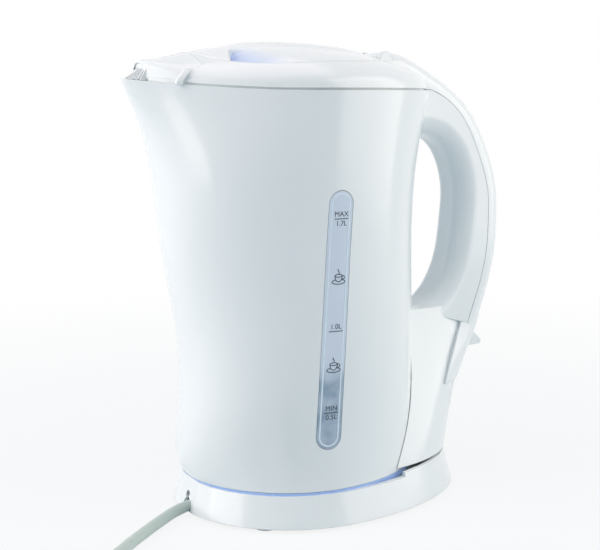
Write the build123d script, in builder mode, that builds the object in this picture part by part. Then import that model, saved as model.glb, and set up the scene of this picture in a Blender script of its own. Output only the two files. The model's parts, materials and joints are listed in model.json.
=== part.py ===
import os
from math import cos, radians, sin, tan

from build123d import *

# Cordless electric jug kettle on its power base, in millimetres.
# +Z up, spout towards -X, handle towards +X, level window on the -Y side.
# The feet stand on z = 0 and the origin is midway between spout tip and handle back.

# Overall places
half_length = 115.5  # origin to the spout tip, and to the back of the handle
jug_x = -21.0  # upright axis of the jug
base_x = -18.0  # middle of the power base

# Fits
fit_gap = 0.25  # between pieces that are fixed together
run_gap = 0.4  # between pieces that move past each other
pin_gap = 0.05  # radial play of a pivot pin

# Jug
wall = 2.5
jug_edge = 19.8  # lower edge of the jug skin
floor_top = 22.5
floor_thickness = 2.5
jug_top = 232.0  # top of the untrimmed skin
rim_height = 224.5
lip_height = 230.0  # spout tip
lip_start = -40.0  # where the rim starts to rise to the spout
foot_ring_inset = 12.0
foot_ring_width = 3.0
oval = 0.5523  # control share that makes a curve a quarter oval

# Jug outline: height, front reach, rear reach, half width, nose half width, shoulder
jug_levels = (
    (18.5, 59.5, 72.0, 58.5, 32.3, 32.9),
    (61.0, 62.0, 71.5, 58.5, 32.3, 34.2),
    (116.0, 66.7, 70.5, 59.5, 32.9, 36.8),
    (170.0, 75.0, 70.5, 61.0, 33.7, 41.4),
    (196.0, 80.0, 73.5, 62.4, 28.0, 42.0),
    (226.0, 93.0, 80.0, 63.8, 10.0, 40.0),
    (jug_top, 95.6, 81.0, 64.0, 8.0, 40.0),
)

# Handle and tail
handle_wall = 3.0
strip_depth = 11.6  # depth of the back strip that belongs to the top cover
strip_end = 45.0  # lower end of that strip
tail_edge = 21.4
tail_top = 101.0
tail_wall = 2.6

# Grip sections: middle x, middle height, lean from upright, half depth
grip_stations = (
    (jug_x + 82.0, 218.5, 3.6, 18.2),
    (half_length - 30.5, 202.2, 22.6, 15.9),
    (half_length - 20.9, 185.7, 56.4, 13.9),
    (half_length - 15.6, 167.1, 85.7, 14.7),
    (half_length - 15.6, 150.0, 90.0, 15.6),
    (half_length - 17.4, 131.2, 90.7, 16.4),
    (half_length - 22.4, 114.1, 99.0, 17.3),
    (half_length - 37.0, 93.0, 105.8, 23.9),
)
grip_half_width = 15.0
grip_round = 11.0
hump_front = jug_x + 48.0  # the top line of the handle starts on the collar
hump_top = 244.3
hump_length = 18.0
hump_root = 23.0

# Tail sections: height, distance of the rear from the handle back, half length, half width
tail_levels = (
    (18.5, 39.5, 67.0, 50.0),
    (50.0, 28.9, 73.6, 38.0),
    (77.0, 18.0, 74.5, 25.0),
    (tail_top, 7.8, 72.0, 16.5),
)

# Top cover
collar_bottom = 225.5
collar_inset = 1.0
collar_roof = 3.0
collar_step = 0.7  # ledge on top of the spigot inside the collar
rim_gap = 0.9  # groove between the rim of the jug and the collar
dome_x = -40.0  # crown of the dome that collar and lid share
dome_rise = 22.0
dome_leans = (0.0, 15.0, 32.0, 50.0, 66.0, 78.0, 85.0)  # sections, as angles up a quarter oval
spigot_depth = 9.5
spigot_wall = 2.2
notch_half_width = 24.5
notch_reach = 40.0
hood_x = -105.2  # front edge of the hood over the spout
hood_recess = 1.5  # how far the hood stands back from the collar at its foot
hood_rear = -70.0

# Lid
lid_x = -26.0
lid_half_length = 55.0
lid_half_width = 50.5
lid_bottom = 235.5
ridge_x = -14.0
ridge_foot = 238.0
ridge_top = 249.6
ridge_half_length = 38.0
ridge_half_width = 13.0
liner_inset = 4.0
liner_depth = 7.0
lid_seal_width = 2.0
hinge_x = 33.0
hinge_z = 242.0
hinge_barrel_r = 3.0
hinge_barrel_half = 9.0
hinge_pin_r = 1.5
hinge_ear = 3.5
ear_r = 3.7
ear_depth = 5.0
mound_leans = (0.0, 25.0, 50.0, 72.0, 84.0)  # sections of a mound, as angles up a quarter oval
scoop_x = -35.0
scoop_y = 21.0
scoop_low = 240.5
scoop_r = 20.0
liner_wall = 1.8
lid_seal_height = 2.5

# Level window
window_width = 13.3
window_low = 42.0
window_high = 175.0
window_low_x = -29.0
window_high_x = -24.0
window_flange = 3.5
window_flange_thickness = 1.4
seal_thickness = 0.8

# Spout filter
filter_x = -84.0
filter_reach = 8.0  # room in the collar in front of the filter
filter_low = 198.0
filter_high = 231.0
filter_frame_width = 3.0
filter_thickness = 2.4
filter_pitch = 3.2
filter_hole = 2.4
filter_width = 2 * (notch_half_width - fit_gap)

# Heating element and control
element_z = 42.0
element_plate_width = 34.0
element_plate_height = 32.0
element_plate_thickness = 2.0
element_tube_r = 3.6
element_bend = 10.0
element_neck = 9.0
# Tube loops: height, start and side distance from the middle, front end
element_loops = (
    (35.0, 9.0, 36.0, jug_x - 40.0),
    (49.0, 9.0, 25.0, jug_x - 28.0),
)
element_straight = 10.0  # straight start of a tube at the head plate
element_spread = 22.0  # stretch over which a tube reaches its full width
element_rim = 1.5
element_neck_r = 7.0
element_pad = 4.6  # how far the flat seat stands in from the jug wall
control_length = 19.0
control_width = 28.0
control_low = 45.0
control_high = 66.0
control_foot = 8.0
control_screw_length = 16.0
steam_bend = 7.0
steam_bend_reach = 5.0
control_screw_r = 1.5
control_screw_spread = 12.0
steam_hole_z = 211.0
steam_switch_length = 16.0
steam_switch_setback = 8.0
steam_switch_width = 18.0
steam_switch_high = 94.0
bimetal_r = 6.5
bimetal_thickness = 0.6
steam_tube_r = 3.5
steam_bore_r = 2.5

# Switch lever
switch_x = 88.0
switch_z = 81.0
switch_half_width = 8.0
switch_pin_r = 1.5
switch_ear = 2.4
switch_ear_r = 4.4
switch_reach = 20.0
switch_slot = 17.0
# Side profile of the lever, from its pivot: a toe in the handle and a wedge that the thumb presses
switch_profile = (
    (-6.0, 2.5),
    (5.0, 4.5),
    (11.0, 2.5),
    (18.0, -4.4),
    (17.0, -6.4),
    (7.5, -6.8),
    (0.0, -4.0),
    (-6.0, -2.5),
)

# Cordless connector
connector_x = 62.0
connector_length = 12.0
connector_width = 20.0
connector_top = 29.0
connector_wall = 2.4
connector_flange = 3.0
connector_roof = 2.0
cover_thickness = 2.0
cover_boss_x = 60.0
cover_boss_y = 25.0
cover_boss_top = 38.0
contact_thickness = 1.2
contact_width = 8.0
contact_pitch = 6.0
contact_top = 34.0

# Power base
base_bottom = 2.0
base_front = 68.0
base_rear = 99.0
base_half_width = 64.5
base_flare = 4.6
base_top = 18.2
base_rear_top = 20.5
base_step_x = 21.0
base_deck = 16.0
deck_gap = 0.1
base_wall = 2.5
base_rim = 3.5
plate_thickness = 2.6
foot_r = 6.0
foot_recess = 0.8
foot_front_x = -57.0
foot_rear_x = 41.0
foot_front_y = 41.0
foot_rear_y = 40.5
boss_r = 3.6
screw_r = 1.4
screw_head_r = 2.8
screw_head = 1.4
screw_seat = 0.6
screw_length = 10.0
facet_half_width = 10.0
facet_depth = 0.8
cord_slot = 32.0
tie_hole_r = 2.0
tie_hole_z = 9.6

boss_places = ((-50.0, 30.0), (-50.0, -30.0), (26.0, 36.0), (26.0, -36.0))

# Mains cord and plug
cord_r = 3.0
cord_hole_z = 4.5
cord_hole_y = -1.3
cord_hole_r = 3.8
coil_r = 29.0
coil_band = 12.4
coil_height = 12.0
coil_round = 2.5
clamp_length = 10.0
clamp_width = 22.0
plug_half_height = 11.5
plug_half_width = 16.0
plug_length = 34.0
plug_shoulder = 15.0
plug_round = 5.0
plug_neck_r = 6.5
plug_neck_tip_r = 4.0
plug_neck = 22.0
plug_pin_r = 2.4
plug_pin_length = 19.0
plug_pin_spread = 19.0
floor_gap = 0.05
cord_z = cord_r + floor_gap
turn_share = 0.45  # share of a run that a bend may take
# Route out of the base and across the table, then from the coil to the plug
cord_route = (
    (-53.0, 0.0, 7.8),
    (-88.0, -0.5, 4.2),
    (-112.0, -17.0, cord_z),
    (-133.5, -39.0, cord_z),
    (-156.0, -62.0, cord_z),
    (-178.0, -90.0, cord_z),
)
plug_z = plug_half_height + floor_gap
tail_route = (
    (-159.233, -136.635, 3 * cord_z),
    (-146.06, -138.49, 10.6),
    (-136.06, -139.89, plug_z),
    (-126.55, -141.23, plug_z),
)

os.makedirs("parts", exist_ok=True)


def save(piece, name):
    """Label one finished piece and write it."""
    piece.label = name
    export_step(piece, f"parts/{name}.step")


def egg(height, middle, front, rear, half_width, nose, shoulder):
    """Closed outline of two half ovals that meet at the widest place."""
    tip = middle - front
    back = middle + rear
    with BuildSketch(Plane.XY.offset(height), mode=Mode.PRIVATE) as outline:
        with BuildLine():
            for side in (-1, 1):
                edge = side * half_width
                Bezier((tip, 0), (tip, side * nose), (middle - shoulder, edge), (middle, edge))
                Bezier((middle, edge), (middle + oval * rear, edge), (back, oval * edge), (back, 0))
        make_face()
    return outline.sketch


def plain_oval(height, middle, half_x, half_y):
    """Plain oval outline."""
    return egg(height, middle, half_x, half_x, half_y, oval * half_y, oval * half_x)


def level_at(height):
    """Jug outline values at a height, from the two levels around it."""
    for low, high in zip(jug_levels, jug_levels[1:]):
        if height <= high[0]:
            share = (height - low[0]) / (high[0] - low[0])
            return [a + share * (b - a) for a, b in zip(low, high)]
    return list(jug_levels[-1])


def jug_outline(level, inset):
    """One jug section moved in from the skin by an inset."""
    height, front, rear, half_width, nose, shoulder = level
    share = (half_width - inset) / half_width
    return egg(height, jug_x, front - inset, rear - inset, half_width - inset, nose * share, shoulder)


def jug_outlines(inset):
    """All jug sections moved in from the skin by an inset."""
    return [jug_outline(level, inset) for level in jug_levels]


def tail_outlines(inset):
    """Tail sections moved in by an inset, the top one lowered by it too."""
    outlines = []
    for height, back, half_x, half_y in tail_levels:
        level = min(height, tail_top - inset)
        outlines.append(plain_oval(level, half_length - back - half_x, half_x - inset, half_y - inset))
    return outlines


def grip_points(inset):
    """Points along the handle, a signed distance in from its outer or inner line."""
    outer = []
    inner = []
    for x, z, lean, half_depth in grip_stations:
        out = half_depth - inset
        step = Vector(sin(radians(lean)), cos(radians(lean))) * out
        outer.append((x + step.X, z + step.Y))
        inner.append((x - step.X, z - step.Y))
    return outer, inner


def grip_side():
    """Side view of the handle between its outer and inner lines, with the hump on the collar."""
    outer, inner = grip_points(0)
    hump = [(hump_front, hump_top), (hump_front + hump_length, hump_top)]
    corner = collar_bottom - strip_depth / 2
    with BuildSketch(Plane.XZ, mode=Mode.PRIVATE) as side:
        with BuildLine():
            Spline(*hump, *outer)
            Spline(*inner)
            Polyline(hump[0], (hump_front, corner), (hump_front + hump_root, corner), inner[0])
            Line(outer[-1], inner[-1])
        make_face()
    return side.sketch


def grip_core_side():
    """Side view of the hollow in the handle."""
    outer, inner = grip_points(handle_wall)
    with BuildSketch(Plane.XZ, mode=Mode.PRIVATE) as side:
        with BuildLine():
            Spline(*outer)
            Spline(*inner)
            Line(outer[0], inner[0])
            Line(outer[-1], inner[-1])
        make_face()
    return side.sketch


def strip_region(gap):
    """Side view of everything outside the seam between handle body and back strip."""
    depth = strip_depth + gap
    seam, _ = grip_points(depth)
    for height, back, _, _ in tail_levels[2:0:-1]:
        seam.append((half_length - back - depth, height))
    above, lowest = seam[-2:]
    drop = lowest[1] - strip_end + gap
    slope = (above[0] - lowest[0]) / (above[1] - lowest[1])
    last = (lowest[0] - slope * drop, strip_end - gap)
    far = half_length + hump_top
    with BuildSketch(Plane.XZ, mode=Mode.PRIVATE) as region:
        with BuildLine():
            Spline(*seam, last)
            Polyline(last, (far, last[1]), (far, far), (jug_x, far), (jug_x, seam[0][1]), seam[0])
        make_face()
    return region.sketch


def rim_side(rise):
    """Side view of everything above the rim line, which is raised by a rise."""
    sky = 2 * jug_top
    low = rim_height + rise
    tip = lip_height + rise
    with BuildSketch(Plane.XZ, mode=Mode.PRIVATE) as region:
        with BuildLine():
            Line((half_length, low), (lip_start, low))
            TangentArc((lip_start, low), (-half_length, tip), tangent=(-1, 0))
            Polyline(
                (-half_length, tip),
                (-2 * half_length, tip),
                (-2 * half_length, sky),
                (half_length, sky),
                (half_length, low),
            )
        make_face()
    return region.sketch


def dome_outlines(inset, drop):
    """Sections of the dome on the rim, moved in at the foot and lowered at the crown."""
    _, front, rear, half_width, nose, shoulder = level_at(collar_bottom)
    outlines = []
    for lean in dome_leans:
        share = cos(radians(lean))
        outlines.append(egg(
            collar_bottom + (dome_rise - drop) * sin(radians(lean)),
            dome_x + share * (jug_x - dome_x),
            share * (front - inset),
            share * (rear - inset),
            share * (half_width - inset),
            share * nose,
            share * shoulder,
        ))
    return outlines


def window_slot(grow):
    """Upright rounded slot of the level window, seen from the side."""
    low = Vector(window_low_x, window_low + window_width / 2)
    high = Vector(window_high_x, window_high - window_width / 2)
    with BuildSketch(Plane.XZ, mode=Mode.PRIVATE) as slot:
        with Locations((low + high) / 2):
            length = (high - low).length
            tilt = Vector(1, 0).get_angle(high - low)
            SlotCenterToCenter(length, window_width + 2 * grow, rotation=tilt)
    return slot.sketch


def base_outline(height, inset):
    """Power base outline, which flares towards the table."""
    lean = base_flare * (height - base_bottom) / (base_top - base_bottom)
    front = base_front - lean - inset
    rear = base_rear - lean - inset
    half_width = base_half_width - lean - inset
    return egg(height, base_x, front, rear, half_width, oval * half_width, oval * front)


def slab(low, high):
    """Level block that is wider than the kettle."""
    with BuildPart(mode=Mode.PRIVATE) as block:
        with Locations((0, 0, low)):
            Box(4 * half_length, 4 * half_length, high - low, align=level_align)
    return block.part


def turn_radii(route):
    """Largest fillet at each inner point of a route, from the shorter run beside it."""
    points = [Vector(point) for point in route]
    radii = []
    for before, here, after in zip(points, points[1:], points[2:]):
        turn = (here - before).get_angle(after - here)
        shorter = min((here - before).length, (after - here).length)
        radii.append(turn_share * shorter / tan(radians(turn / 2)))
    return radii


level_align = (Align.CENTER, Align.CENTER, Align.MIN)
rear_wall_x = jug_x + level_at(element_z)[2]
seat_x = rear_wall_x - wall - element_pad  # flat seat of the element inside the jug
control_x = rear_wall_x + fit_gap  # flat seat of the control outside the jug

ear_end = hinge_barrel_half + run_gap + hinge_ear
ear_foot = hinge_z - ear_depth
ear_y = switch_half_width + run_gap + switch_ear / 2
switch_pin_length = 2 * ear_y + switch_ear
cover_top = tail_edge + cover_thickness
steam_bend_x = grip_stations[0][0] + steam_bend_reach
plate_top = base_bottom + plate_thickness
facet_x = base_x - base_front + facet_depth
floor_rise = floor_top - base_deck - deck_gap
control_screw_places = [(side * control_screw_spread, element_z) for side in (-1, 1)]

# Construction forms that several pieces share
with BuildPart() as grip_form:
    extrude(grip_side(), amount=grip_half_width, both=True)
    fillet(grip_form.edges().filter_by(GeomType.BSPLINE), grip_round)

with BuildPart() as grip_core:
    extrude(grip_core_side(), amount=grip_half_width - handle_wall, both=True)
    fillet(grip_core.edges().filter_by(GeomType.BSPLINE), grip_round - handle_wall)

with BuildPart() as jug_skin:
    loft(jug_outlines(-fit_gap))

with BuildPart() as jug_inside:
    loft(jug_outlines(wall))
    split(bisect_by=Plane.XY.offset(floor_top))

# Jug body: tapered oval vessel with a pointed spout lip
with BuildPart() as jug_body:
    loft(jug_outlines(0))
    extrude(rim_side(0), amount=half_length, both=True, mode=Mode.SUBTRACT)
    split(bisect_by=Plane.XY.offset(jug_edge))
    add(jug_inside.part, mode=Mode.SUBTRACT)
    # flat seat for the element head, on both sides of the rear wall
    with Locations((seat_x, 0, element_z)):
        Box(
            rear_wall_x - seat_x,
            element_plate_width + 2 * element_rim,
            element_plate_height + 2 * element_rim,
            align=(Align.MIN, Align.CENTER, Align.CENTER),
        )
    # ring that stands on the deck of the base
    extrude(jug_outline(level_at(base_deck + deck_gap), foot_ring_inset), amount=floor_rise)
    extrude(
        jug_outline(level_at(base_deck + deck_gap), foot_ring_inset + foot_ring_width),
        amount=floor_rise - floor_thickness,
        mode=Mode.SUBTRACT,
    )
    extrude(window_slot(fit_gap), amount=half_length, mode=Mode.SUBTRACT)
    with Locations(Plane.YZ.offset(seat_x)):
        with Locations(*control_screw_places):
            Cylinder(control_screw_r + fit_gap, 4 * (wall + element_pad), mode=Mode.SUBTRACT)
        with Locations((0, element_z)):
            Cylinder(element_neck_r + fit_gap, 4 * (wall + element_pad), mode=Mode.SUBTRACT)
    with Locations(Plane.YZ.offset(jug_x)):
        with Locations((0, steam_hole_z)):
            Cylinder(
                steam_tube_r + fit_gap,
                2 * half_length,
                align=level_align,
                mode=Mode.SUBTRACT,
            )
save(jug_body.part, "jug_body")

# Level window: clear plate in the wall slot, with a flange behind the wall
with BuildPart() as window_plate:
    loft(jug_outlines(0))
    loft(jug_outlines(wall + seal_thickness), mode=Mode.SUBTRACT)
    extrude(window_slot(0), amount=half_length, mode=Mode.INTERSECT)

with BuildPart() as level_window:
    loft(jug_outlines(wall + seal_thickness))
    loft(jug_outlines(wall + seal_thickness + window_flange_thickness), mode=Mode.SUBTRACT)
    extrude(window_slot(window_flange), amount=half_length, mode=Mode.INTERSECT)
    add(window_plate.part)
save(level_window.part, "level_window")

with BuildPart() as window_seal:
    loft(jug_outlines(wall))
    loft(jug_outlines(wall + seal_thickness), mode=Mode.SUBTRACT)
    extrude(window_slot(window_flange), amount=half_length, mode=Mode.INTERSECT)
    extrude(window_slot(fit_gap), amount=half_length, mode=Mode.SUBTRACT)
save(window_seal.part, "window_seal")

# Handle body: inner half of the grip and the wide tail below it
with BuildPart() as handle_body:
    add(grip_form.part)
    loft(tail_outlines(0))
    loft(tail_outlines(tail_wall), mode=Mode.SUBTRACT)
    add(grip_core.part, mode=Mode.SUBTRACT)
    with Locations((cover_boss_x, cover_boss_y, cover_top), (cover_boss_x, -cover_boss_y, cover_top)):
        Cylinder(boss_r, cover_boss_top - cover_top, align=level_align)
        Cylinder(screw_r, cover_boss_top - cover_top, align=level_align, mode=Mode.SUBTRACT)
    add(jug_skin.part, mode=Mode.SUBTRACT)
    with Locations((jug_x, 0, steam_hole_z)):
        Cylinder(
            steam_tube_r + fit_gap,
            steam_bend_x - jug_x,
            rotation=(0, 90, 0),
            align=level_align,
            mode=Mode.SUBTRACT,
        )
    extrude(strip_region(fit_gap), amount=half_length, both=True, mode=Mode.SUBTRACT)
    with Locations((switch_x, 0, switch_z)):
        Box(
            2 * (switch_ear_r + fit_gap),
            2 * ear_y + switch_ear + 2 * fit_gap,
            2 * (switch_ear_r + fit_gap),
            mode=Mode.SUBTRACT,
        )
    split(bisect_by=Plane.XY.offset(tail_edge))
save(handle_body.part, "handle_body")

# Top cover: collar round the lid, and the strip over the top and back of the handle
with BuildPart() as collar_spigot:
    loft(jug_outlines(wall + fit_gap))
    loft(jug_outlines(wall + fit_gap + spigot_wall), mode=Mode.SUBTRACT)
    add(slab(collar_bottom - spigot_depth, collar_bottom + collar_inset), mode=Mode.INTERSECT)

with BuildPart() as back_strip:
    add(grip_form.part)
    loft(tail_outlines(0))
    extrude(strip_region(0), amount=half_length, both=True, mode=Mode.INTERSECT)
    loft(tail_outlines(tail_wall), mode=Mode.SUBTRACT)
    add(grip_core.part, mode=Mode.SUBTRACT)

# collar: dome on the rim, with a hood over the spout that stands back a little
with BuildPart() as collar_band:
    loft(dome_outlines(collar_inset, 0))
    with BuildPart(mode=Mode.PRIVATE) as hood_skin:
        with Locations((hood_rear, 0, 0)):
            Box(
                2 * half_length,
                2 * notch_half_width,
                2 * jug_top + 2 * half_length,
                align=(Align.MAX, Align.CENTER, Align.CENTER),
            )
        loft(dome_outlines(collar_inset + hood_recess, 0), mode=Mode.SUBTRACT)
    add(hood_skin.part, mode=Mode.SUBTRACT)
    extrude(rim_side(rim_gap), amount=half_length, both=True, mode=Mode.INTERSECT)
    with Locations((hood_x, 0, collar_bottom)):
        Box(
            half_length,
            half_length,
            half_length,
            align=(Align.MAX, Align.CENTER, Align.CENTER),
            mode=Mode.SUBTRACT,
        )

opening_x = lid_half_length + run_gap
opening_y = lid_half_width + run_gap
with BuildPart() as top_cover:
    add(collar_band.part)
    add(back_strip.part)
    loft(dome_outlines(wall + fit_gap + spigot_wall - collar_step, collar_roof), mode=Mode.SUBTRACT)
    add(collar_spigot.part)
    # ears of the lid hinge
    with Locations((hinge_x, 0, hinge_z)):
        Cylinder(ear_r, 2 * ear_end, rotation=(90, 0, 0))
        Box(2 * ear_r, 2 * ear_end, hinge_z - ear_foot, align=(Align.CENTER, Align.CENTER, Align.MAX))
        Cylinder(
            hinge_barrel_r + run_gap,
            2 * (hinge_barrel_half + run_gap),
            rotation=(90, 0, 0),
            mode=Mode.SUBTRACT,
        )
        Box(
            2 * (hinge_barrel_r + run_gap),
            2 * (hinge_barrel_half + run_gap),
            half_length,
            align=level_align,
            mode=Mode.SUBTRACT,
        )
    with Locations((hinge_x, 0, hinge_z - hinge_barrel_r - run_gap)):
        Box(
            2 * (hinge_x - lid_x - lid_half_length),
            2 * (hinge_barrel_half + run_gap),
            half_length,
            align=(Align.MAX, Align.CENTER, Align.MIN),
            mode=Mode.SUBTRACT,
        )
    with Locations((hinge_x, 0, hinge_z)):
        Cylinder(hinge_pin_r + pin_gap, 2 * ear_end - hinge_ear, rotation=(90, 0, 0), mode=Mode.SUBTRACT)
    # opening for the lid, and room for the filter behind the spout
    extrude(plain_oval(lid_bottom - run_gap, lid_x, opening_x, opening_y), amount=half_length, mode=Mode.SUBTRACT)
    with Locations((lid_x - lid_half_length, 0, collar_bottom - 2 * spigot_depth)):
        Box(
            2 * notch_reach,
            2 * notch_half_width,
            2 * (spigot_depth + collar_inset),
            align=level_align,
            mode=Mode.SUBTRACT,
        )
    with Locations((filter_x - filter_reach, 0, collar_bottom)):
        Box(
            notch_reach,
            2 * notch_half_width,
            filter_high + run_gap - collar_bottom,
            align=(Align.MIN, Align.CENTER, Align.MIN),
            mode=Mode.SUBTRACT,
        )
    # slot and bearing ears of the switch lever
    with Locations((switch_x, 0, switch_z)):
        Box(
            switch_reach,
            2 * (switch_half_width + run_gap),
            switch_slot,
            align=(Align.MIN, Align.CENTER, Align.CENTER),
            mode=Mode.SUBTRACT,
        )
        with Locations((-switch_ear_r, ear_y, 0), (-switch_ear_r, -ear_y, 0)):
            Box(
                2 * switch_ear_r,
                switch_ear,
                2 * switch_ear_r,
                align=(Align.MIN, Align.CENTER, Align.CENTER),
            )
        Cylinder(switch_pin_r + pin_gap, switch_pin_length, rotation=(90, 0, 0), mode=Mode.SUBTRACT)
save(top_cover.part, "top_cover")

# Lid: middle of the dome, with a pinch ridge between two finger scoops
def mound(middle, half_x, half_y, foot, top):
    """Outlines of a low oval mound, from its foot to a small level top."""
    outlines = []
    for lean in mound_leans:
        share = cos(radians(lean))
        height = foot + (top - foot) * sin(radians(lean))
        outlines.append(plain_oval(height, middle, share * half_x, share * half_y))
    return outlines


with BuildPart() as lid_top:
    loft(dome_outlines(collar_inset, 0))
    extrude(plain_oval(lid_bottom, lid_x, lid_half_length, lid_half_width), amount=half_length, mode=Mode.INTERSECT)
    loft(mound(ridge_x, ridge_half_length, ridge_half_width, ridge_foot, ridge_top))
    with Locations((scoop_x, -scoop_y, scoop_low + scoop_r), (scoop_x, scoop_y, scoop_low + scoop_r)):
        Sphere(scoop_r, rotation=(90, 0, 0), mode=Mode.SUBTRACT)
    # hinge tongue and barrel
    with Locations((hinge_x, 0, hinge_z)):
        Cylinder(hinge_barrel_r, 2 * hinge_barrel_half, rotation=(90, 0, 0))
        Box(
            2 * (hinge_x - lid_x - lid_half_length),
            2 * hinge_barrel_half,
            hinge_barrel_r,
            align=(Align.MAX, Align.CENTER, Align.MAX),
        )
        Cylinder(hinge_pin_r + pin_gap, 4 * hinge_barrel_half, rotation=(90, 0, 0), mode=Mode.SUBTRACT)
save(lid_top.part, "lid_top")

with BuildPart() as lid_liner:
    extrude(
        plain_oval(lid_bottom - liner_depth, lid_x, lid_half_length - liner_inset, lid_half_width - liner_inset),
        amount=liner_depth,
    )
    extrude(
        plain_oval(
            lid_bottom - liner_depth + liner_wall,
            lid_x,
            lid_half_length - liner_inset - liner_wall,
            lid_half_width - liner_inset - liner_wall,
        ),
        amount=liner_depth,
        mode=Mode.SUBTRACT,
    )
save(lid_liner.part, "lid_liner")

with BuildPart() as lid_seal:
    seal_x = lid_half_length - liner_inset
    seal_y = lid_half_width - liner_inset
    seal_low = lid_bottom - lid_seal_height
    extrude(
        plain_oval(seal_low, lid_x, seal_x + lid_seal_width, seal_y + lid_seal_width), amount=lid_seal_height
    )
    extrude(plain_oval(seal_low, lid_x, seal_x, seal_y), amount=lid_seal_height, mode=Mode.SUBTRACT)
save(lid_seal.part, "lid_seal")

with BuildPart() as lid_hinge_pin:
    with Locations((hinge_x, 0, hinge_z)):
        Cylinder(hinge_pin_r, 2 * ear_end - hinge_ear, rotation=(90, 0, 0))
save(lid_hinge_pin.part, "lid_hinge_pin")

# Spout filter: frame between the cheeks of the collar, with a square mesh
with BuildPart() as filter_frame:
    with BuildSketch(Plane.YZ.offset(filter_x)):
        with Locations((0, (filter_low + filter_high) / 2)):
            RectangleRounded(filter_width, filter_high - filter_low, filter_frame_width)
            Rectangle(
                filter_width - 2 * filter_frame_width,
                filter_high - filter_low - 2 * filter_frame_width,
                mode=Mode.SUBTRACT,
            )
    extrude(amount=filter_thickness)
save(filter_frame.part, "filter_frame")

with BuildPart() as filter_mesh:
    mesh_width = filter_width - 2 * (filter_frame_width + fit_gap)
    mesh_height = filter_high - filter_low - 2 * (filter_frame_width + fit_gap)
    with BuildSketch(Plane.YZ.offset(filter_x + filter_thickness / 3)):
        with Locations((0, (filter_low + filter_high) / 2)):
            Rectangle(mesh_width, mesh_height)
            with GridLocations(
                filter_pitch, filter_pitch, int(mesh_width / filter_pitch), int(mesh_height / filter_pitch)
            ):
                Rectangle(filter_hole, filter_hole, mode=Mode.SUBTRACT)
    extrude(amount=filter_thickness / 3)
save(filter_mesh.part, "filter_mesh")

# Heating element: head plate with two tube loops above the floor
with BuildPart() as heating_element:
    with Locations((seat_x - seal_thickness, 0, element_z)):
        Box(
            element_plate_thickness,
            element_plate_width,
            element_plate_height,
            align=(Align.MAX, Align.CENTER, Align.CENTER),
        )
        Cylinder(element_neck_r, element_neck, rotation=(0, 90, 0), align=level_align)
    plate_face = seat_x - seal_thickness - element_plate_thickness
    straight_x = plate_face - element_straight
    wide_x = straight_x - element_spread
    for level, start, side, front in element_loops:
        with BuildLine():
            FilletPolyline(
                (plate_face, -start, level),
                (straight_x, -start, level),
                (wide_x, -side, level),
                (front, -side, level),
                (front, side, level),
                (wide_x, side, level),
                (straight_x, start, level),
                (plate_face, start, level),
                radius=element_bend,
            )
        with BuildSketch(Plane((plate_face, -start, level), z_dir=(-1, 0, 0))):
            Circle(element_tube_r)
        sweep()
save(heating_element.part, "heating_element")

with BuildPart() as element_seal:
    with Locations((seat_x, 0, element_z)):
        Box(
            seal_thickness,
            element_plate_width,
            element_plate_height,
            align=(Align.MAX, Align.CENTER, Align.CENTER),
        )
    with Locations(Plane.YZ.offset(seat_x)):
        with Locations((0, element_z)):
            Cylinder(element_neck_r + fit_gap, 4 * seal_thickness, mode=Mode.SUBTRACT)
        with Locations(*control_screw_places):
            Cylinder(control_screw_r + fit_gap, 4 * seal_thickness, mode=Mode.SUBTRACT)
save(element_seal.part, "element_seal")

# Control unit on the outside of the element head
with BuildPart() as control_unit:
    with Locations((control_x, 0, (control_low + control_high) / 2)):
        Box(
            control_length,
            control_width,
            control_high - control_low,
            align=(Align.MIN, Align.CENTER, Align.CENTER),
        )
    # foot that reaches down to the element head
    with Locations((control_x, 0, control_low)):
        Box(
            control_foot,
            control_width,
            control_low - element_z + control_screw_r + wall,
            align=(Align.MIN, Align.CENTER, Align.MAX),
        )
    with Locations(Plane.YZ.offset(control_x)):
        with Locations(*control_screw_places):
            Cylinder(control_screw_r + fit_gap, 4 * control_length, mode=Mode.SUBTRACT)
        with Locations((0, element_z)):
            Cylinder(element_neck_r + fit_gap, 2 * control_foot, mode=Mode.SUBTRACT)
save(control_unit.part, "control_unit")

with BuildPart() as control_screws:
    with Locations(Plane.YZ.offset(seat_x - seal_thickness)):
        with Locations(*control_screw_places):
            Cylinder(control_screw_r, control_screw_length, align=level_align)
        with Locations(Plane.XY.offset(control_x + control_foot - seat_x + seal_thickness)):
            with Locations(*control_screw_places):
                Cylinder(2 * control_screw_r, control_screw_r, align=level_align)
save(control_screws.part, "control_screws")

# Steam switch: block on the control with its bimetal disc, fed by a tube through the handle
steam_x = control_x + steam_switch_setback
with BuildPart() as steam_switch:
    with Locations((steam_x, 0, control_high)):
        Box(
            steam_switch_length,
            steam_switch_width,
            steam_switch_high - control_high,
            align=(Align.MIN, Align.CENTER, Align.MIN),
        )
save(steam_switch.part, "steam_switch")

with BuildPart() as bimetal_disc:
    with Locations((steam_x + steam_switch_length, 0, (control_high + steam_switch_high) / 2)):
        Cylinder(bimetal_r, bimetal_thickness, rotation=(0, 90, 0), align=level_align)
save(bimetal_disc.part, "bimetal_disc")

with BuildPart() as steam_tube:
    steam_start = jug_x + level_at(steam_hole_z)[2] - wall
    steam_end = steam_x + steam_switch_length - steam_tube_r
    middle = [(x, 0, z) for x, z, _, _ in grip_stations[1:7]]
    with BuildLine():
        FilletPolyline(
            (steam_start, 0, steam_hole_z),
            (steam_bend_x, 0, steam_hole_z),
            *middle,
            (steam_end, 0, steam_switch_high + 2 * steam_tube_r),
            (steam_end, 0, steam_switch_high + fit_gap),
            radius=steam_bend,
        )
    with BuildSketch(Plane.YZ.offset(steam_start)):
        with Locations((0, steam_hole_z)):
            Circle(steam_tube_r)
            Circle(steam_bore_r, mode=Mode.SUBTRACT)
    sweep()
save(steam_tube.part, "steam_tube")

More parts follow.
